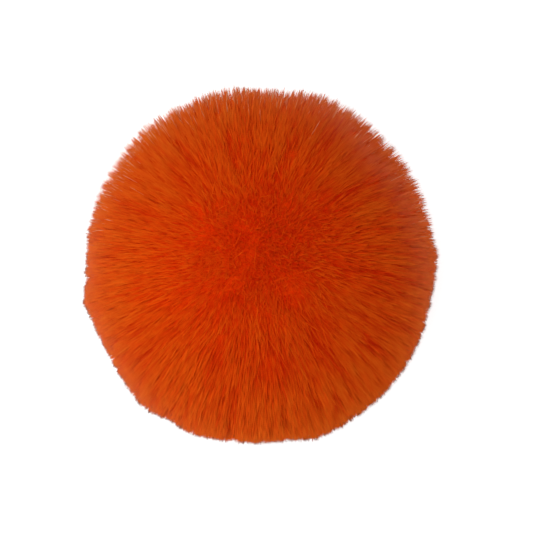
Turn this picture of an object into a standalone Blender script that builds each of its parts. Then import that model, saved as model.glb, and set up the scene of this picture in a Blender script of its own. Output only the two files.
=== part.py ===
"""A round fur pom pom, about 100 mm across, resting on a small flat spot.

It is one piece: a dense gathered heart with 300 four-sided fur locks that
grow out of it all round. Each lock keeps apart from its neighbours from the
root up, narrows to a soft point, and droops a little under its own weight.
The locks below are shorter, and end level where the ball rests.

Units are metres, +Z is up, and the origin lies on the surface that the pom
pom rests on, below the middle of its outline.
"""

import math
import random

import bmesh
import bpy
from mathutils import Matrix, Vector, noise

# Driving dimensions
FUR_REACH = 0.0501  # from the ball's middle to the tips of the fur
REST_SAG = 0.0037  # how far the fur gives way under the ball
HEART_RADIUS = 0.031  # the gathered heart that the locks grow from
HEART_SHIFT = Vector((-0.0005, 0.0040, 0.0))  # the heart sits off the middle
SEED_POINTS = 102  # these give 3 * 102 - 6 = 300 locks
LAYOUT_SEED = 11

MIDDLE = Vector((0.0, 0.0, FUR_REACH - REST_SAG))
HEART = MIDDLE + HEART_SHIFT
DOWN = Vector((0.0, 0.0, -1.0))

# The outline seen from above: degrees round from +X, and the reach there in millimetres.
OUTLINE = (
    (0, 50.1),
    (12, 49.4),
    (45, 49.9),
    (70, 50.8),
    (90, 49.5),
    (112, 50.3),
    (130, 51.0),
    (150, 50.0),
    (174, 49.2),
    (190, 50.5),
    (204, 49.4),
    (230, 51.6),
    (241, 50.6),
    (252, 51.3),
    (274, 50.1),
    (290, 51.1),
    (312, 50.2),
    (348, 49.3),
)

# The sections of a lock, from its root outwards: how far along it they lie, how much
# of the lock's own patch of the ball they fill, and how far they are turned, in degrees.
SECTIONS = (
    {"along": 0.00, "width": 0.90, "turn": 0.0},
    {"along": 0.52, "width": 0.88, "turn": 2.0},
    {"along": 0.82, "width": 0.64, "turn": 7.0},
)
FLOOR_END = {"along": 1.00, "width": 0.60, "turn": 7.0}  # the level end of a lock that the ball stands on

DROOP = 0.0030  # how far a tip at the ball's side hangs below its root's own line
STRAY = 0.0013  # how far a tip leans to one side at random
LENGTH_SPREAD = 0.012  # how uneven the tips are, as a share of the reach
UNEVEN_TURNS = 3.1  # how often that unevenness comes and goes across the ball
POINT_JITTER = 0.13  # how uneven the layout is, in steps between neighbouring points
TIP_STEPS = 6  # rounds that tip_distance takes to settle

FUR_COLOUR = (0.62, 0.065, 0.004, 1.0)
FUR_ROUGHNESS = 0.85
SHARP_EDGE = math.radians(50.0)


def clear_scene():
    for old in list(bpy.data.objects):
        bpy.data.objects.remove(old, do_unlink=True)


def outline_reach(azimuth):
    """The reach at an angle round from +X, in metres, eased from one row of OUTLINE to the next."""
    degrees = math.degrees(azimuth) % 360.0
    rows = OUTLINE + ((OUTLINE[0][0] + 360, OUTLINE[0][1]),)
    for (start, low), (end, high) in zip(rows, rows[1:]):
        if start <= degrees <= end:
            ease = 0.5 - 0.5 * math.cos(math.pi * (degrees - start) / (end - start))
            return (low + (high - low) * ease) / 1000.0
    return FUR_REACH


def fur_surface(direction):
    """How far the tips reach from MIDDLE in a direction. The outline fades to a plain ball at the poles."""
    level = direction.x**2 + direction.y**2
    seen = outline_reach(math.atan2(direction.y, direction.x))
    unevenness = LENGTH_SPREAD * noise.noise(direction * UNEVEN_TURNS)
    return (FUR_REACH + (seen - FUR_REACH) * level) * (1.0 + unevenness)


def floor_distance(direction):
    """How far from HEART a ray in this direction meets the surface below."""
    return HEART.z / -direction.z if direction.z < 0.0 else math.inf


def tip_distance(direction):
    """How far from HEART a ray in this direction leaves the fur, or meets the surface below."""
    distance = FUR_REACH
    for _ in range(TIP_STEPS):
        outwards = HEART + direction * distance - MIDDLE
        distance += fur_surface(outwards.normalized()) - outwards.length
    return min(distance, floor_distance(direction))


def seed_points():
    """Points spread evenly over a unit ball along a spiral, then pushed about a little."""
    chance = random.Random(LAYOUT_SEED)
    golden_angle = math.pi * (3.0 - math.sqrt(5.0))
    push = math.sqrt(4.0 * math.pi / SEED_POINTS) * POINT_JITTER
    points = []
    for number in range(SEED_POINTS):
        height = 1.0 - (2.0 * number + 1.0) / SEED_POINTS
        level = math.sqrt(1.0 - height * height)
        angle = number * golden_angle
        point = Vector((level * math.cos(angle), level * math.sin(angle), height))
        point += Vector([chance.uniform(-push, push) for _ in range(3)])
        points.append(point.normalized())
    return points


def lock_layout():
    """The unit ball cut into 300 four-sided patches, one for each lock. One of them faces straight down."""
    layout = bmesh.new()
    for point in seed_points():
        layout.verts.new(point)
    bmesh.ops.convex_hull(layout, input=layout.verts)
    hull_edges = list(layout.edges)
    middles = bmesh.ops.poke(layout, faces=list(layout.faces))["verts"]
    for middle in middles:
        middle.co.normalize()
    bmesh.ops.dissolve_edges(layout, edges=hull_edges, use_verts=False)
    bmesh.ops.recalc_face_normals(layout, faces=list(layout.faces))
    lowest = min(layout.faces, key=lambda patch: patch.calc_center_median().z)
    upright = lowest.calc_center_median().rotation_difference(DOWN).to_matrix()
    bmesh.ops.rotate(layout, verts=list(layout.verts), matrix=upright)
    return layout


def lock_lean(centre, chance):
    """The sideways shift of a lock's tip: it droops at the ball's sides, and strays a little."""
    hang = DOWN - centre * DOWN.dot(centre)
    stray = Vector([chance.uniform(-1.0, 1.0) for _ in range(3)])
    stray -= centre * stray.dot(centre)
    off_the_floor = max(0.0, min(1.0, 1.0 + centre.z / 0.75))
    return (hang * DROOP + stray * STRAY) * off_the_floor


def place_section(verts, corners, centre, section, lean):
    """Moves the corners of a lock's section to their place between its root and its tip."""
    turn = Matrix.Rotation(math.radians(section["turn"]), 3, centre)
    shift = lean * section["along"] ** 2 / FUR_REACH
    for vert, corner in zip(verts, corners):
        direction = centre + (turn @ corner - centre) * section["width"] + shift
        direction.normalize()
        span = tip_distance(direction) - HEART_RADIUS
        vert.co = HEART + direction * (HEART_RADIUS + span * section["along"])


def grow_lock(mesh, patch, corners, chance):
    """Raises one lock from its patch of the heart: the groove round its root, its sections and its end."""
    centre = sum(corners, Vector()).normalized()
    stands = tip_distance(centre) == floor_distance(centre)
    lean = Vector() if stands else lock_lean(centre, chance)
    for section in SECTIONS + (FLOOR_END,) if stands else SECTIONS:
        patch = bmesh.ops.extrude_discrete_faces(mesh, faces=[patch])["faces"][0]
        place_section(patch.verts, corners, centre, section, lean)
    if stands:
        for vert in patch.verts:
            vert.co.z = 0.0
        return
    direction = (centre + lean / FUR_REACH).normalized()
    tip = bmesh.ops.poke(mesh, faces=[patch])["verts"][0]
    tip.co = HEART + direction * tip_distance(direction)


def fur_mesh():
    """The whole pom pom as one closed surface."""
    mesh = lock_layout()
    patches = [(patch, [vert.co.copy() for vert in patch.verts]) for patch in mesh.faces]
    for vert in mesh.verts:
        vert.co = HEART + vert.co * HEART_RADIUS
    chance = random.Random(LAYOUT_SEED)
    for patch, corners in patches:
        grow_lock(mesh, patch, corners, chance)
    return mesh


def fur_material():
    material = bpy.data.materials.new("fur")
    material.use_nodes = True
    material.diffuse_color = FUR_COLOUR
    shader = material.node_tree.nodes["Principled BSDF"]
    shader.inputs["Base Color"].default_value = FUR_COLOUR
    shader.inputs["Roughness"].default_value = FUR_ROUGHNESS
    shader.inputs["Metallic"].default_value = 0.0
    return material


def build_pom_pom():
    mesh = fur_mesh()
    data = bpy.data.meshes.new("pom_pom")
    mesh.to_mesh(data)
    mesh.free()
    data.materials.append(fur_material())
    data.shade_smooth()
    data.set_sharp_from_angle(angle=SHARP_EDGE)
    pom_pom = bpy.data.objects.new("pom_pom", data)
    bpy.context.scene.collection.objects.link(pom_pom)


clear_scene()
build_pom_pom()
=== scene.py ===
import math

import bmesh
import bpy
import numpy as np
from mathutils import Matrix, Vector, noise


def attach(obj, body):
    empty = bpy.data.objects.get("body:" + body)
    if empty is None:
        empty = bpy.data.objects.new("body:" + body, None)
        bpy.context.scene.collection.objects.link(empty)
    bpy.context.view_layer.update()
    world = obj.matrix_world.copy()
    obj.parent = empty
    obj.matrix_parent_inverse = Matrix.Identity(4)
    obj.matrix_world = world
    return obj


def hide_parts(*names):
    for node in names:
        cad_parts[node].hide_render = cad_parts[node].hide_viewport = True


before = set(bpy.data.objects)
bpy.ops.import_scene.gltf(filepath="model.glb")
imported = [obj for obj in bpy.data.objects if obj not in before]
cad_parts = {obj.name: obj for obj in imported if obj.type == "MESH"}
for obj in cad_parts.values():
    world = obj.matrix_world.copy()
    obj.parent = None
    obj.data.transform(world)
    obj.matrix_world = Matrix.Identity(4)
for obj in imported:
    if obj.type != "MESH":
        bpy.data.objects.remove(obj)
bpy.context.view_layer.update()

ball = {
    "reach": 0.0501,  # from the middle to the fur's tips
    "sag": 0.0037,  # how far the fur gives way where it rests
    "heartShift": (-0.0005, 0.0040, 0.0),  # the hair runs from a heart that sits off the middle
    # the outline from above: degrees round from +X, and the reach there in millimetres
    "outline": (
        (0, 50.2), (3, 50.4), (9, 49.5), (18, 49.6), (30, 49.9), (45, 49.7), (54, 50.4), (67, 51.1),
        (75, 50.4), (84, 49.4), (90, 49.6), (99, 50.3), (107, 50.4), (112, 49.9), (130, 50.5),
        (142, 49.7), (160, 49.4), (177, 49.0), (184, 49.1), (192, 50.9), (198, 49.6), (210, 49.4),
        (222, 50.5), (231, 51.7), (240, 50.6), (248, 51.4), (258, 50.5), (266, 50.0), (280, 49.9),
        (290, 51.5), (301, 50.5), (315, 50.4), (330, 49.9), (340, 49.6), (349, 49.2)),
    "outlineKeeps": 1.5,  # the higher this, the closer the outline's unevenness keeps to the side
}
middle = np.array((0.0, 0.0, ball["reach"] - ball["sag"]))
heart = middle + np.array(ball["heartShift"])


def unit(vectors):
    return vectors / np.linalg.norm(vectors, axis=1, keepdims=True)


def turnOf(directions):
    # how far round the ball from +X
    return np.arctan2(directions[:, 1], directions[:, 0])


def polarOf(directions):
    # how far down from the top
    return np.arccos(np.clip(directions[:, 2], -1.0, 1.0))


def sideOf(directions):
    # 1 at the ball's side, 0 at its top and foot
    return 1.0 - directions[:, 2] ** 2


def roundBall(table, directions):
    # the value that a table of degrees round from +X has at each direction
    return np.interp(np.degrees(turnOf(directions)), *zip(*table), period=360.0)


def clearOfTop(directions, wide):
    # 0 at the very top and 1 well clear of it
    return 1.0 - np.exp(-(polarOf(directions) / wide) ** 2)


def between(ends, share):
    # this share of the way from the first end to the last
    first, last = ends
    return first + (last - first) * share


def tangents(directions):
    # two ways square to each direction and to one another
    upright = np.abs(directions[:, 2:]) >= 0.9
    side = unit(np.cross(directions, np.where(upright, (1.0, 0.0, 0.0), (0.0, 0.0, 1.0))))
    return side, np.cross(directions, side)


def noiseAt(places, turns, shift):
    shift = Vector((shift, -shift, 2.0 * shift))
    return np.array([noise.noise(Vector(p) * turns + shift) for p in places.tolist()])


def noiseVectors(places, turns, shift):
    shift = Vector((shift, shift, -shift))
    return np.array([noise.noise_vector(Vector(p) * turns + shift) for p in places.tolist()])


def furSurface(directions):
    # how far the fur reaches from the ball's middle
    seen = roundBall(ball["outline"], directions) / 1000.0
    return ball["reach"] + (seen - ball["reach"]) * sideOf(directions) ** ball["outlineKeeps"]


def tipDistance(directions):
    # how far the fur reaches from the heart, closed in on in a few rounds
    far = np.full(len(directions), ball["reach"])
    for _ in range(5):
        outwards = heart + directions * far[:, None] - middle
        gap = np.linalg.norm(outwards, axis=1)
        far += furSurface(outwards / gap[:, None]) - gap
    return far


# each noise has its turns over the ball, and a shift that keeps it apart from the others
fur = {
    "seed": 7,
    "bands": 5,  # the fur is made in this many pieces, from the top down
    # the share of the hair that has been laid, from the top down, and the height it comes to:
    # the foot gets less
    "density": ((0.0, 1.0), (0.57, 0.0), (0.94, -0.72), (1.0, -1.0)),
    # height, and how much wider the hair is there
    "wider": ((-0.78, 1.5), (-0.66, 1.0), (0.85, 1.0), (1.0, 1.25)),
    "widthSpread": (0.75, 1.25),
    "rootDepth": 0.16,  # how deep the hair starts, as a share of the way from the heart
    "floorClear": 0.0002,  # hair at the foot ends this far above the floor
    "unevenness": 0.004,  # how uneven the surface is, as a share of the reach
    "unevenNoise": (3.1, 0.0),

    # how the hair leans, in radians round the heart
    "droop": 0.06,  # how far the tips at the ball's side hang
    "comb": 0.48,  # how far the hair between top and side is swept outwards
    "combWide": 0.45,  # how far round the top it isn't
    "combSpread": 0.25,  # how unevenly it is swept
    "lean": 0.028,  # how far neighbouring tufts lean together
    "leanNoise": (9.0, 3.7),
    "topLean": (4.0, 0.50),  # how much more hair leans at the very top, and how far round that goes

    # the ragged edge: degrees round from +X, and how ragged it is there
    "ragged": ((0, 0.25), (12, 0.7), (35, 1.0), (82, 1.0), (92, 0.6), (100, 1.0), (152, 1.0),
               (166, 0.35), (180, 0.15), (200, 0.05), (330, 0.05), (350, 0.15)),
    "raggedTop": 0.3,  # how ragged the fur's top is
    "swirl": -0.02,  # how far the ragged hair leans round the ball
    "points": (330.0, 0.35),  # it stands in points: how many round the ball, and their unevenness
    "pointWaves": ((17.0, 0.0), (43.0, 1.0), (71.0, 0.0)),  # turns round the ball, and shift
    "together": 0.28,  # how far it draws together in them
    "dipEven": 1.6,  # the higher this, the fewer hairs stay long there
    "edgeThinner": 0.55,  # how much thinner the hair is there
    "edgeEven": 0.8,  # how much less neighbouring tufts lean together there
    "edgeKeeps": 3,  # the higher this, the closer all of this keeps to the ball's side
    "pointKeeps": 5,  # and the points

    # the hair gathers in streaks that run out from the top:
    # turns round it, stretch along it, and share of the tone
    "streaks": ((9.0, 0.5, 0.04), (30.0, 0.15, 0.20), (95.0, 0.05, 0.20)),
    "streakShift": 5.0,
    "rootStreaks": 2,  # this many of them go by the hair's root, the others by its tip
    "mainStreak": 1,  # the one whose relief shows
    "streakGather": 0.0010,
    "streakReach": 0.008,
    "topWide": 0.3,  # how far round the top the streaks fade out
    "weakStreak": 0.33,  # where a streak is weaker than this, the fur parts,
    "weakMost": 0.2,  # more and more until it is this much weaker,
    "weakDeep": 0.16,  # and this is how deep it would part for a whole 1

    # longer partings: degrees round the top, from and to degrees down from it, and strength
    "partings": (
        (103, 22, 44, 1.0), (108, 38, 55, 0.8), (127, 28, 46, 0.8), (141, 30, 50, 0.5),
        (92, 20, 40, 0.7), (73, 18, 36, 0.7), (58, 26, 50, 0.6), (32, 22, 48, 0.6),
        (14, 24, 52, 0.5), (-10, 22, 50, 0.6), (-18, 32, 50, 0.7), (-39, 32, 54, 0.9),
        (-52, 10, 28, 1.0), (-56, 24, 52, 1.0), (-62, 40, 58, 0.7), (-72, 18, 40, 0.6),
        (-79, 20, 38, 0.7), (-86, 18, 36, 0.7), (-98, 34, 54, 0.5), (-110, 20, 44, 0.5),
        (-146, 30, 52, 0.5), (172, 26, 50, 0.4)),
    "partingWidth": 0.011,
    "partingEnd": 0.12,  # over how many radians a parting fades in and out
    "partingPush": 0.014,  # how far the hair on either side of it is pushed away
    "partingFlip": 0.004,  # how near its middle the hair changes sides
    "partingDeep": 0.055,  # as a share of the reach
    "partingPaintedShade": 0.75,  # painted shade: how much redder and darker the parting is
    "partingFoot": 3.0,  # partings fade out below one part in this of the height

    # patches of tufts reach further and are more orange: how much at the top, and at the side
    "patchNoise": (20.0, 2.0),
    "patchReach": (0.006, 0.0024),
    "patchTone": (0.22, 0.12),

    # the tone runs from 0, red, to 1, orange: the fur's own colour, with painted shade and painted
    # light put in it below
    "slowTone": 0.09,  # how much it changes slowly over the ball
    "slowNoise": (7.0, 11.0),
    "paintedShadeTopToSide": (-0.37, 0.13),  # painted shade: the fur is redder and darker at its top, for the deep fur seen end-on there
    "toneKeeps": 0.62,  # the higher this, the closer the side's tone keeps to the side
    # degrees round from +X, and how much more orange the fur's side is there: painted light, most
    # towards the upper left, where the light comes from
    "roundPaintedLight": ((0, 0.0), (45, 0.03), (90, 0.07), (135, 0.17), (180, 0.06), (225, -0.02),
                  (270, 0.0), (315, -0.02)),
    "toneRange": (0.02, 0.90),
    "paleLitTone": 0.99,  # past the range: a pale hair, painted light shining through it
    # degrees round from +X, and how many of the hairs at the ragged edge are pale: painted light
    # shining through them, on the lit side
    "pale": ((0, 0.0), (15, 0.35), (75, 0.45), (95, 1.0), (150, 1.0), (165, 0.5), (180, 0.0)),
    "tipSide": 14.0,  # how closely the darker tips and the pale hairs keep to the ball's side
    "tipBelow": 0.60,  # how far down from its widest place they reach, as a share of its reach
    "plainEnd": 0.80,  # where in the map a plain hair ends, and a dark-tipped one
    "darkEnd": 0.92,
    "mapWidth": 0.012,

    # how the fur takes the light
    "softness": 0.99,  # how far the hair's shading follows the ball's own roundness
    # degrees round from +X, and how far the fur's side is turned up to the light there
    "lift": ((0, -0.19), (45, -0.38), (90, 0.12), (135, 0.23), (180, -0.07), (225, 0.00),
             (270, 0.50), (315, 0.52)),
    # and how far the fur between top and side is turned round to the side light
    "turned": ((0, 0.17), (45, 0.15), (90, 0.29), (135, 0.25), (180, -0.11), (225, -0.12),
               (270, 0.04), (315, 0.03)),
}

# the coat of hair that shows most: its notes hold for the other three as well
topHair = {
    "tufts": 30700,
    "hairsInTuft": 3,
    "shake": 0.32,  # how unevenly the tufts lie, in steps between them
    "spread": 0.9,  # how far a tuft's roots lie from its middle, in the same steps
    "pull": (0.2, 0.7),  # how much of the way a hair's tip is drawn to its tuft's tip
    "tuftLean": 0.005,  # how far each tuft leans by chance
    "hairLean": 0.004,  # and each hair
    "depth": 1.0,  # how deep its roots lie, as a share of the root depth
    "reach": 1.011,  # as a share of the fur's reach
    "short": 0.004,  # how much shorter than that a hair may be
    "dip": (-0.036, 0.101),  # how much shorter the hair is where the edge is ragged
    "width": 0.00036,
    "widest": 0.72,  # how far along the hair it is widest
    "darkTip": (0.15, 0.50),  # how dark its tip is at the ball's side, and how much more if ragged
    "tone": (0.55, 0.05, 0.02),  # middle, spread between tufts, spread between hairs
    "pale": 0.30,  # the share of its hair that is pale where the edge is ragged, painted light shining through it
}
# wider hair that fills the fur below it
underHair = {
    "tufts": 27000,
    "hairsInTuft": 3,
    "shake": 0.5,
    "spread": 1.0,
    "pull": (0.0, 0.6),
    "tuftLean": 0.015,
    "hairLean": 0.012,
    "depth": 1.0,
    "reach": 1.004,
    "short": 0.02,
    "dip": (-0.025, 0.107),
    "width": 0.00055,
    "widest": 0.0,
    "darkTip": (0.0, 0.0),
    "tone": (0.42, 0.06, 0.06),
    "pale": 0.0,
}
# long, thin hairs with dark tips, in a belt round the ball's side, for the outline's brown line
guardHair = {
    "tufts": 5400,
    "density": ((0.0, 0.24), (1.0, -0.16)),
    "hairsInTuft": 1,
    "shake": 0.5,
    "spread": 0.0,
    "pull": (1.0, 1.0),
    "tuftLean": 0.010,
    "hairLean": 0.0,
    "depth": 1.0,
    "reach": 1.025,
    "short": 0.010,
    "dip": (-0.022, 0.050),
    "width": 0.00017,
    "widest": 0.85,
    "darkTip": (0.75, 0.0),
    "tone": (0.50, 0.08, 0.0),
    "pale": 0.0,
}
# short, thin hairs all over, dark-tipped at the ball's side and pale where its edge is ragged, with
# painted light shining through the pale ones
fineHair = {
    "tufts": 14000,
    "hairsInTuft": 1,
    "shake": 0.6,
    "spread": 0.0,
    "pull": (1.0, 1.0),
    "tuftLean": 0.015,
    "hairLean": 0.0,
    "depth": 0.35,
    "reach": 1.024,
    "short": 0.014,
    "dip": (-0.019, 0.081),
    "width": 0.00017,
    "widest": 0.85,
    "darkTip": (0.80, 0.0),
    "tone": (0.50, 0.06, 0.0),
    "pale": 1.0,
}


def aroundBall(coat, chance):
    # directions spread over a ball from its top down, then shaken a little
    count = coat["tufts"]
    density = coat.get("density", fur["density"])
    height = np.interp((np.arange(count) + 0.5) / count, *zip(*density))
    turn = np.arange(count) * math.pi * (3.0 - math.sqrt(5.0))
    ring = np.sqrt(1.0 - height ** 2)
    places = np.stack((ring * np.cos(turn), ring * np.sin(turn), height), axis=1)
    shake = coat["shake"] * math.sqrt(4.0 * math.pi / count)
    return unit(places + chance.normal(0.0, shake, places.shape))


def raggedness(directions):
    # how ragged the fur is: by the table at its side, and evenly at its top
    side = sideOf(directions)
    return roundBall(fur["ragged"], directions) * side + fur["raggedTop"] * (1.0 - side)


def raggedEdge(directions):
    # the same, kept to the ball's side
    return raggedness(directions) * sideOf(directions) ** fur["edgeKeeps"]


def looseness(directions):
    # how much more the hair leans, most at the very top
    more, wide = fur["topLean"]
    return (1.0 + more * np.exp(-(polarOf(directions) / wide) ** 2))[:, None]


def roundTheTop(directions):
    # the way round the ball, as long as the ring there is wide
    return np.stack((-directions[:, 1], directions[:, 0], np.zeros(len(directions))), axis=1)


def streakAt(directions, which, swing=0.0):
    # how strong a streak is at each direction, or a little further round
    turns, stretch, _ = fur["streaks"][which]
    turn, polar = turnOf(directions) + swing, polarOf(directions)
    places = np.stack((np.cos(turn), np.sin(turn), polar * stretch), axis=1)
    return noiseAt(places, turns, fur["streakShift"])


def partingsAt(directions):
    # how strongly each place is parted, and which way its hair is pushed
    turn, polar = turnOf(directions), polarOf(directions)
    fade = fur["partingEnd"]
    parted, pushed = np.zeros(len(directions)), np.zeros(len(directions))
    for place, start, end, strength in fur["partings"]:
        across = np.mod(turn - math.radians(place) + math.pi, 2.0 * math.pi) - math.pi
        across = across * np.sin(polar)
        share = np.clip((polar - math.radians(start)) / fade, 0.0, 1.0)
        share = share * np.clip((math.radians(end) - polar) / fade, 0.0, 1.0)
        near = strength * share * np.exp(-(across / fur["partingWidth"]) ** 2)
        parted = np.maximum(parted, near)
        pushed += near * np.tanh(across / fur["partingFlip"])
    return parted, pushed


def combed(directions, chance):
    # the way the fur is swept: outwards and down, most of all between top and side
    high = np.maximum(directions[:, 2:], 0.0)
    away = np.array((0.0, 0.0, -1.0)) + directions[:, 2:] * directions
    clear = clearOfTop(directions, fur["combWide"])[:, None]
    uneven = 1.0 + chance.normal(0.0, fur["combSpread"], high.shape)
    return away * (fur["droop"] + fur["comb"] * high * clear * uneven)


def drawTogether(places):
    # where the edge is ragged its hair draws together in points
    number, uneven = fur["points"]
    turn = turnOf(places)
    ring = np.hypot(places[:, 0], places[:, 1])
    waves = sum(np.sin(turns * turn + shift) for turns, shift in fur["pointWaves"])
    place = turn * number / (2.0 * math.pi) + uneven * waves
    near = fur["together"] * raggedness(places) * sideOf(places) ** fur["pointKeeps"]
    turn = turn - (place - np.round(place)) * near * 2.0 * math.pi / number
    return np.stack((ring * np.cos(turn), ring * np.sin(turn), places[:, 2]), axis=1)


def layTufts(coat, chance):
    # every tuft's place, and the direction, reach and tone of its tip
    tufts = aroundBall(coat, chance)
    clear = clearOfTop(tufts, fur["topWide"])
    even = 1.0 - fur["edgeEven"] * raggedEdge(tufts)
    lean = fur["lean"] * noiseVectors(tufts, *fur["leanNoise"]) * even[:, None]
    lean += chance.normal(0.0, coat["tuftLean"], tufts.shape)

    main, swing = fur["mainStreak"], 0.01
    streak = streakAt(tufts, main) * clear
    slope = (streakAt(tufts, main, swing) - streakAt(tufts, main, -swing)) / (2.0 * swing)
    parted, pushed = partingsAt(tufts)
    ring = np.maximum(np.sin(polarOf(tufts)), 0.1)  # never quite closed at the top
    gather = slope * clear * fur["streakGather"] + fur["partingPush"] * pushed / ring
    tips = unit(tufts + lean * looseness(tufts) + roundTheTop(tufts) * gather[:, None])

    patch = noiseAt(tufts, *fur["patchNoise"])
    weak = fur["weakDeep"] * np.clip(-streak - fur["weakStreak"], 0.0, fur["weakMost"])
    inside = np.clip(fur["partingFoot"] * tufts[:, 2], 0.0, 1.0)
    reach = (1.0 + fur["unevenness"] * noiseAt(tufts, *fur["unevenNoise"])
             + fur["streakReach"] * streak + between(fur["patchReach"], clear) * patch
             - (weak + fur["partingDeep"] * parted) * inside)

    average, betweenTufts, _ = coat["tone"]
    aside = (1.0 - np.clip(tufts[:, 2], 0.0, 1.0) ** 2) ** fur["toneKeeps"]
    tone = average + fur["slowTone"] * noiseAt(tufts, *fur["slowNoise"])
    tone += between(fur["patchTone"], clear) * patch
    tone += chance.normal(0.0, betweenTufts, len(tufts))
    # painted shade: the top is made redder and darker, and so are the partings
    tone += between(fur["paintedShadeTopToSide"], aside) - fur["partingPaintedShade"] * parted
    # painted light: the fur's side is more orange where the light falls
    tone += roundBall(fur["roundPaintedLight"], tufts) * aside
    return tufts, tips, reach, tone


def growHairs(coat, chance):
    # every hair's root, tip, tone, end in the map and width
    tufts, tuftTips, tuftReach, tuftTone = layTufts(coat, chance)
    wider = np.interp(tufts[:, 2], *zip(*fur["wider"]))
    step = math.sqrt(4.0 * math.pi / len(tufts)) * wider
    owner = np.repeat(np.arange(len(tufts)), coat["hairsInTuft"])
    number, parents = len(owner), tufts[owner]

    side, other = tangents(parents)
    turn = chance.random(number) * 2.0 * math.pi
    away = np.sqrt(chance.random(number)) * coat["spread"] * step[owner]
    shift = (side * np.cos(turn)[:, None] + other * np.sin(turn)[:, None]) * away[:, None]
    pull = chance.uniform(*coat["pull"], number)[:, None]
    hairLean = chance.normal(0.0, coat["hairLean"], shift.shape) * looseness(parents)
    swirl = roundTheTop(parents) * fur["swirl"] * raggedness(parents)[:, None]
    roots = unit(parents + shift)
    tips = unit(tuftTips[owner] + shift * (1.0 - pull) + hairLean)
    tips = unit(tips + combed(tufts, chance)[owner] + swirl)
    roots, tips = drawTogether(roots), drawTogether(tips)

    least, most = coat["dip"]
    atEdge = raggedEdge(tips)
    dip = (most - (most - least) * chance.random(number) ** fur["dipEven"]) * atEdge
    reach = tuftReach[owner] * coat["reach"] - dip - coat["short"] * chance.random(number)
    tipPlaces = heart + tips * (tipDistance(tips) * reach)[:, None]
    rootReach = 1.0 - fur["rootDepth"] * coat["depth"]
    rootPlaces = heart + roots * (tipDistance(roots) * rootReach)[:, None]

    _, _, betweenHairs = coat["tone"]
    tone = tuftTone[owner] + chance.normal(0.0, betweenHairs, number)
    clear = clearOfTop(parents, fur["topWide"])
    for which, (_, _, share) in enumerate(fur["streaks"]):
        places = roots if which < fur["rootStreaks"] else tips
        tone += share * streakAt(places, which) * clear
    low = np.clip(1.0 + tips[:, 2] / fur["tipBelow"], 0.0, 1.0)
    atSide = sideOf(tips) ** fur["tipSide"] * low
    # painted light: pale hairs at the ragged edge, coloured as if light shone through them
    pale = chance.random(number) < coat["pale"] * roundBall(fur["pale"], tips) * atSide
    tone = np.where(pale, fur["paleLitTone"], np.clip(tone, *fur["toneRange"]))

    sideDark, raggedDark = coat["darkTip"]
    dark = np.clip((sideDark + raggedDark * raggedness(tips)) * atSide, 0.0, 1.0)
    ends = between((fur["plainEnd"], fur["darkEnd"]), dark)
    widths = coat["width"] * wider[owner] * chance.uniform(*fur["widthSpread"], number)
    return rootPlaces, tipPlaces, tone, ends, widths * (1.0 - fur["edgeThinner"] * atEdge)


def restOnFloor(roots, tips):
    # hair that would reach below the floor ends just above it
    clear = fur["floorClear"]
    low = tips[:, 2] < clear
    along = tips[low] - roots[low]
    share = (clear - roots[low, 2]) / along[:, 2]
    tips[low] = roots[low] + along * share[:, None]
    return tips


def hairShape(widest):
    # one closed hair along +Z, 1 long and 1 wide: a point at each end, or widest at its root
    shape = bmesh.new()
    bmesh.ops.create_cone(shape, cap_ends=True, cap_tris=False, segments=3,
                          radius1=0.5, radius2=0.0, depth=1.0 - widest)
    bmesh.ops.remove_doubles(shape, verts=shape.verts, dist=1e-5)
    bmesh.ops.translate(shape, vec=(0.0, 0.0, 0.5 + widest / 2.0), verts=shape.verts)
    if widest > 0.0:
        root = [f for f in shape.faces if f.normal.z < -0.9]
        for v in bmesh.ops.poke(shape, faces=root)["verts"]:
            v.co.z = 0.0
    bmesh.ops.recalc_face_normals(shape, faces=shape.faces)
    shape.verts.index_update()
    points = np.array([v.co[:] for v in shape.verts])
    faces = np.array([[v.index for v in f.verts] for f in shape.faces])
    shape.free()
    return points, faces


def litDirections(tips):
    # the ball's own roundness at each tip, turned to the lights
    outwards = unit(tips - middle)
    lift = roundBall(fur["lift"], outwards)[:, None]
    turned = roundBall(fur["turned"], outwards)[:, None]
    high, ring = outwards[:, 2:].copy(), np.sqrt(1.0 - outwards[:, 2:] ** 2)
    toLight = np.array(studio["sidePlace"]) * (1.0, 1.0, 0.0)
    toLight /= np.linalg.norm(toLight)
    halfway = 2.6 * ring * np.clip(high, 0.0, 1.0) ** 2  # 1 at its most, between top and side
    outwards += toLight * turned * halfway
    outwards[:, 2:] += lift * ring ** 2
    return unit(outwards)


def hairMesh(coat, roots, tips, tone, ends, widths, chance):
    # corner places, shading directions, faces and map of one coat's hairs
    points, faces = hairShape(coat["widest"])
    count, corners = len(roots), len(points)
    along = tips - roots
    side, other = tangents(unit(along))
    spin = chance.random(count)[:, None] * 2.0 * math.pi
    side, other = (side * np.cos(spin) + other * np.sin(spin),
                   other * np.cos(spin) - side * np.sin(spin))
    aside = side[:, None, :] * points[None, :, :1] + other[:, None, :] * points[None, :, 1:2]
    places = roots[:, None, :] + along[:, None, :] * points[None, :, 2:]
    places = places + aside * widths[:, None, None]
    soft = fur["softness"]
    shading = aside * 2.0 * (1.0 - soft) + litDirections(tips)[:, None, :] * soft
    corner = np.arange(count)[:, None, None] * corners + faces[None]

    # the map runs from root to tip, and its other way holds the hair's own tone
    across, upwards = points[faces][None, :, :, 0], points[faces][None, :, :, 2]
    flat = np.empty((count, len(faces), 3, 2))
    flat[..., 0] = tone[:, None, None] + across * fur["mapWidth"]
    flat[..., 1] = (1.0 + (upwards - 1.0) * coat["depth"]) * ends[:, None, None]
    return (places.reshape(-1, 3), unit(shading.reshape(-1, 3)), corner.reshape(-1),
            np.clip(flat, 0.0, 1.0).reshape(-1, 2))


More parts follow.
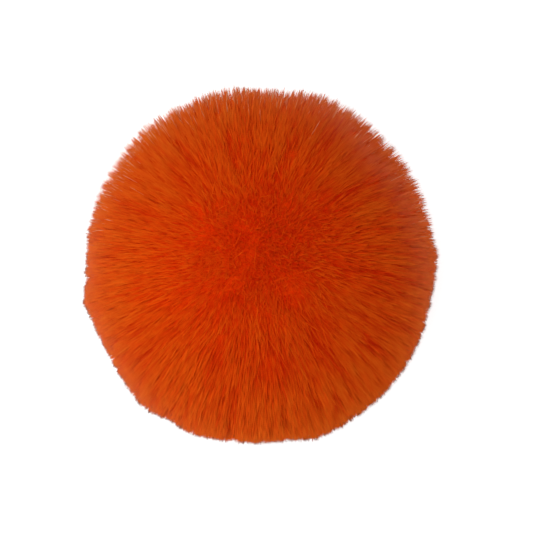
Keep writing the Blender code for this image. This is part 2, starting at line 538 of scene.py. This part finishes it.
def addPiece(name, mesh, material):
    mesh.materials.append(material)
    piece = bpy.data.objects.new(name, mesh)
    bpy.context.collection.objects.link(piece)
    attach(piece, "root")
    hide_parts("pom_pom")
    print(name, len(mesh.polygons), "triangles")


def joinHairs(name, parts, material):
    places, shading, corner, flat = [], [], [], []
    for coatPlaces, coatShading, coatCorner, coatFlat in parts:
        corner.append(coatCorner + sum(len(p) for p in places))
        places.append(coatPlaces)
        shading.append(coatShading)
        flat.append(coatFlat)
    places, shading, corner, flat = [np.concatenate(v) for v in (places, shading, corner, flat)]

    mesh = bpy.data.meshes.new(name)
    mesh.vertices.add(len(places))
    mesh.vertices.foreach_set("co", places.reshape(-1).astype(np.float32))
    mesh.loops.add(len(corner))
    mesh.loops.foreach_set("vertex_index", corner.astype(np.int32))
    mesh.polygons.add(len(corner) // 3)
    mesh.polygons.foreach_set("loop_start", np.arange(0, len(corner), 3, dtype=np.int32))
    uv = mesh.uv_layers.new(name="OFBake")
    uv.data.foreach_set("uv", flat.reshape(-1).astype(np.float32))
    mesh.update(calc_edges=True)
    mesh.validate()
    mesh.shade_smooth()
    mesh.normals_split_custom_set_from_vertices(shading.astype(np.float32))
    addPiece(name, mesh, material)


def newMaterial(name, values):
    # a material with these values in its shader
    material = bpy.data.materials.new(name)
    material.use_nodes = True
    for entry, value in values.items():
        material.node_tree.nodes["Principled BSDF"].inputs[entry].default_value = value
    return material


def addRamp(nodes, stops):
    # a colour ramp through these places and colours
    node = nodes.new("ShaderNodeValToRGB")
    elements = node.color_ramp.elements
    elements[0].position, elements[0].color = stops[0]
    elements[1].position, elements[1].color = stops[-1]
    for position, colour in stops[1:-1]:
        elements.new(position).color = colour
    return node


dyeAndPaintedLight = {
    "shader": {"Roughness": 0.85, "Specular IOR Level": 0.0,
               "Sheen Weight": 0.055, "Sheen Roughness": 0.4},
    # the hair's tone: its own colour, and the painted shade and light that the fur table puts in
    # the tone, with the pale painted-light hairs at its far end
    "tone": ((0.0, (0.76, 0.018, 0.001, 1.0)), (0.16, (0.83, 0.040, 0.001, 1.0)),
             (0.5, (0.91, 0.100, 0.003, 1.0)), (0.91, (0.943, 0.154, 0.007, 1.0)),
             (0.98, (0.97, 0.38, 0.15, 1.0))),
    # and what it is multiplied by from root to tip: painted shade, redder and darker towards the
    # root deep in the fur, and painted light, paler towards the tip
    "along": ((0.26, (0.95, 0.35, 0.3, 1.0)), (0.62, (0.985, 0.85, 0.8, 1.0)),
              (0.80, (1.0, 1.1, 1.6, 1.0))),
    # in the map past a plain hair's end: where the dark tip starts and is full, and its colours
    "tipFrom": 0.81,
    "tipFull": 0.85,
    "tip": ((0.86, (0.26, 0.088, 0.040, 1.0)), (0.92, (0.11, 0.048, 0.032, 1.0))),
}


def furMaterial():
    material = newMaterial("dyed fur and painted light", dyeAndPaintedLight["shader"])
    nodes, links = material.node_tree.nodes, material.node_tree.links
    uv = nodes.new("ShaderNodeUVMap")
    uv.uv_map = "OFBake"
    split = nodes.new("ShaderNodeSeparateXYZ")
    links.new(uv.outputs["UV"], split.inputs["Vector"])
    along = addRamp(nodes, dyeAndPaintedLight["along"])
    links.new(split.outputs["Y"], along.inputs["Fac"])
    tone = addRamp(nodes, dyeAndPaintedLight["tone"])
    links.new(split.outputs["X"], tone.inputs["Fac"])
    mix = nodes.new("ShaderNodeMix")
    mix.data_type = "RGBA"
    mix.blend_type = "MULTIPLY"
    mix.inputs["Factor"].default_value = 1.0
    links.new(along.outputs["Color"], mix.inputs["A"])
    links.new(tone.outputs["Color"], mix.inputs["B"])

    tipShare = nodes.new("ShaderNodeMapRange")
    tipShare.inputs["From Min"].default_value = dyeAndPaintedLight["tipFrom"]
    tipShare.inputs["From Max"].default_value = dyeAndPaintedLight["tipFull"]
    links.new(split.outputs["Y"], tipShare.inputs["Value"])
    tip = addRamp(nodes, dyeAndPaintedLight["tip"])
    links.new(split.outputs["Y"], tip.inputs["Fac"])
    darker = nodes.new("ShaderNodeMix")
    darker.data_type = "RGBA"
    links.new(tipShare.outputs["Result"], darker.inputs["Factor"])
    links.new(mix.outputs["Result"], darker.inputs["A"])
    links.new(tip.outputs["Color"], darker.inputs["B"])
    links.new(darker.outputs["Result"], nodes["Principled BSDF"].inputs["Base Color"])
    return material


def makeFur():
    chance = np.random.default_rng(fur["seed"])
    noise.seed_set(fur["seed"])  # noise_vector would otherwise differ from run to run
    coats = [(coat, growHairs(coat, chance)) for coat in (topHair, underHair, guardHair, fineHair)]
    material = furMaterial()
    bands = fur["bands"]
    for band in range(bands):
        parts = []
        for coat, values in coats:
            start, end = [len(values[0]) * b // bands for b in (band, band + 1)]
            roots, tips, tone, ends, widths = [v[start:end] for v in values]
            tips = restOnFloor(roots, tips)
            parts.append(hairMesh(coat, roots, tips, tone, ends, widths, chance))
        joinHairs("fur_band_%d" % (band + 1), parts, material)


# the soft inner ball that closes the gaps between the hairs
under = {
    "depth": 0.054,  # how far below the fur's reach it lies, as a share of it
    "lowest": 0.0008,  # it is flat where it rests
    "lumps": 0.0006,  # how high its lumps stand
    "lumpTurns": 8.0,
    "shader": {"Roughness": 0.95, "Specular IOR Level": 0.0},
    "colours": ((0.3, (0.81, 0.037, 0.001, 1.0)), (0.7, (0.87, 0.060, 0.002, 1.0))),
    "grainTurns": 2600.0,
    "grainDetail": 3.0,
    "grainDeep": 0.0003,
}


def underMaterial():
    material = newMaterial("deep fur", under["shader"])
    nodes, links = material.node_tree.nodes, material.node_tree.links
    place = nodes.new("ShaderNodeTexCoord")
    grain = nodes.new("ShaderNodeTexNoise")
    grain.inputs["Scale"].default_value = under["grainTurns"]
    grain.inputs["Detail"].default_value = under["grainDetail"]
    links.new(place.outputs["Object"], grain.inputs["Vector"])
    ramp = addRamp(nodes, under["colours"])
    links.new(grain.outputs["Fac"], ramp.inputs["Fac"])
    links.new(ramp.outputs["Color"], nodes["Principled BSDF"].inputs["Base Color"])
    bump = nodes.new("ShaderNodeBump")
    bump.inputs["Distance"].default_value = under["grainDeep"]
    links.new(grain.outputs["Fac"], bump.inputs["Height"])
    links.new(bump.outputs["Normal"], nodes["Principled BSDF"].inputs["Normal"])
    return material


def makeUnderfur():
    shape = bmesh.new()
    bmesh.ops.create_icosphere(shape, subdivisions=5, radius=1.0)
    far = tipDistance(np.array([v.co[:] for v in shape.verts]))
    for v, reach in zip(shape.verts, far):
        lump = under["lumps"] * noise.noise(v.co * under["lumpTurns"])
        v.co *= reach * (1.0 - under["depth"]) + lump
    bmesh.ops.translate(shape, vec=Vector(heart), verts=shape.verts)
    for v in shape.verts:
        v.co.z = max(v.co.z, under["lowest"])
    mesh = bpy.data.meshes.new("underfur")
    shape.to_mesh(mesh)
    shape.free()
    mesh.shade_smooth()
    addPiece("underfur", mesh, underMaterial())


studio = {
    "cameraHeight": 0.60,  # above the ball's middle
    "cameraShift": (0.00453, -0.00283),  # the ball lies a little left of and above the middle
    "frameShare": 353.0 / 551.0,  # the ball's width in the picture
    "cameraClip": 0.01,
    "world": 0.425,
    "keyPlace": (-0.08, 0.04, 0.95),  # close to the camera, so that the fur stays bright inside
    "keySize": 0.2,
    "keyPower": 2.75,
    "sidePlace": (-0.75, -0.28, 0.76),  # a wide, soft light from the left
    "sideSize": 0.9,
    "sidePower": 3.35,
    "floorSize": 24.0,
    "floorShader": {"Base Color": (0.60, 0.60, 0.60, 1.0), "Roughness": 0.9,
                    "Specular IOR Level": 0.0, "Emission Color": (1.0, 1.0, 1.0, 1.0),
                    "Emission Strength": 0.75},
}


def makeCamera():
    camera = bpy.data.cameras.new("camera")
    seen = ball["reach"] / math.sqrt(studio["cameraHeight"] ** 2 - ball["reach"] ** 2)
    camera.lens = camera.sensor_width * studio["frameShare"] / (2.0 * seen)
    camera.clip_start = studio["cameraClip"]
    holder = bpy.data.objects.new("camera", camera)
    holder.location = (*studio["cameraShift"], middle[2] + studio["cameraHeight"])
    bpy.context.collection.objects.link(holder)
    bpy.context.scene.camera = holder


def makeWorld():
    world = bpy.data.worlds.new("studio")
    world.use_nodes = True
    background = world.node_tree.nodes["Background"]
    background.inputs["Color"].default_value = (1.0, 1.0, 1.0, 1.0)
    background.inputs["Strength"].default_value = studio["world"]
    bpy.context.scene.world = world


def makeLight(name):
    light = bpy.data.lights.new(name, "AREA")
    light.size = studio[name + "Size"]
    light.energy = studio[name + "Power"]
    holder = bpy.data.objects.new(name, light)
    holder.location = studio[name + "Place"]
    towards = Vector(middle) - holder.location
    holder.rotation_euler = towards.to_track_quat("-Z", "Y").to_euler()
    bpy.context.collection.objects.link(holder)


def makeFloor():
    shape = bmesh.new()
    bmesh.ops.create_grid(shape, x_segments=1, y_segments=1, size=studio["floorSize"] / 2.0)
    mesh = bpy.data.meshes.new("floor")
    shape.to_mesh(mesh)
    shape.free()
    mesh.materials.append(newMaterial("pale floor", studio["floorShader"]))
    floor = bpy.data.objects.new("floor", mesh)
    bpy.context.collection.objects.link(floor)


def makeStudio():
    makeWorld()
    makeLight("key")
    makeLight("side")
    makeFloor()
    bpy.context.scene.view_settings.view_transform = "Standard"
    print("camera, light and floor made")


makeCamera()
makeStudio()
makeUnderfur()
makeFur()
